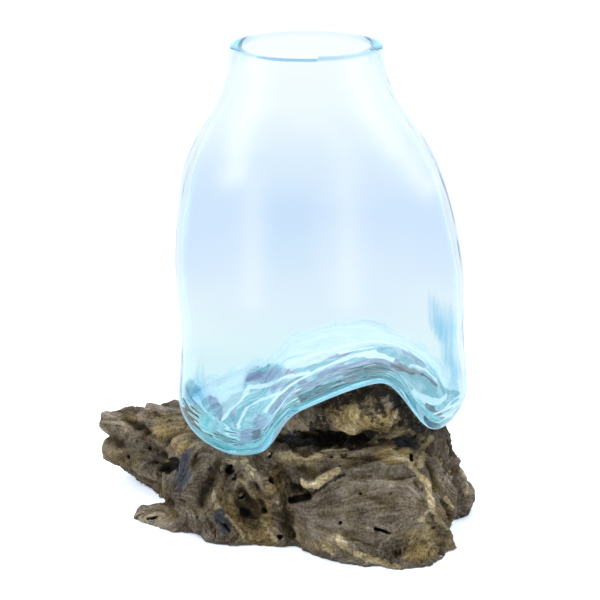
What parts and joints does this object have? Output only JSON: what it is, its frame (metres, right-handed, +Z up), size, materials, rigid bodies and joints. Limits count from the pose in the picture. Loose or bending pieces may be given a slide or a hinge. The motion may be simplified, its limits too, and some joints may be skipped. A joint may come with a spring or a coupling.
{
  "type": "glass vase on wood",
  "caption": "Hand-blown clear glass vase slumped over a gnarled driftwood root base, with its floor draped over the wood; the vase lifts straight off.",
  "frame": {"origin": "on the table plane, under the middle of the bounding box of the whole object", "axes": "+Z up along the way the vase lifts off; the pictured front faces -Y; +X to the right of it"},
  "size_m": [0.2098, 0.1488, 0.259],
  "materials": {
    "root_wood": "weathered, dry and matt, with cream splits and charred hollows",
    "aqua_glass": "clear fire-polished glass with a pale aqua tint"
  },
  "bodies": {
    "root": {"root_base": "root_wood"},
    "vase": {"glass_vase": "aqua_glass"}
  },
  "joints": [
    {"name": "vase_lift", "type": "slide", "parent": "root", "child": "vase", "axis": [0, 0, 1], "range_m": [0, 0.1]}
  ]
}
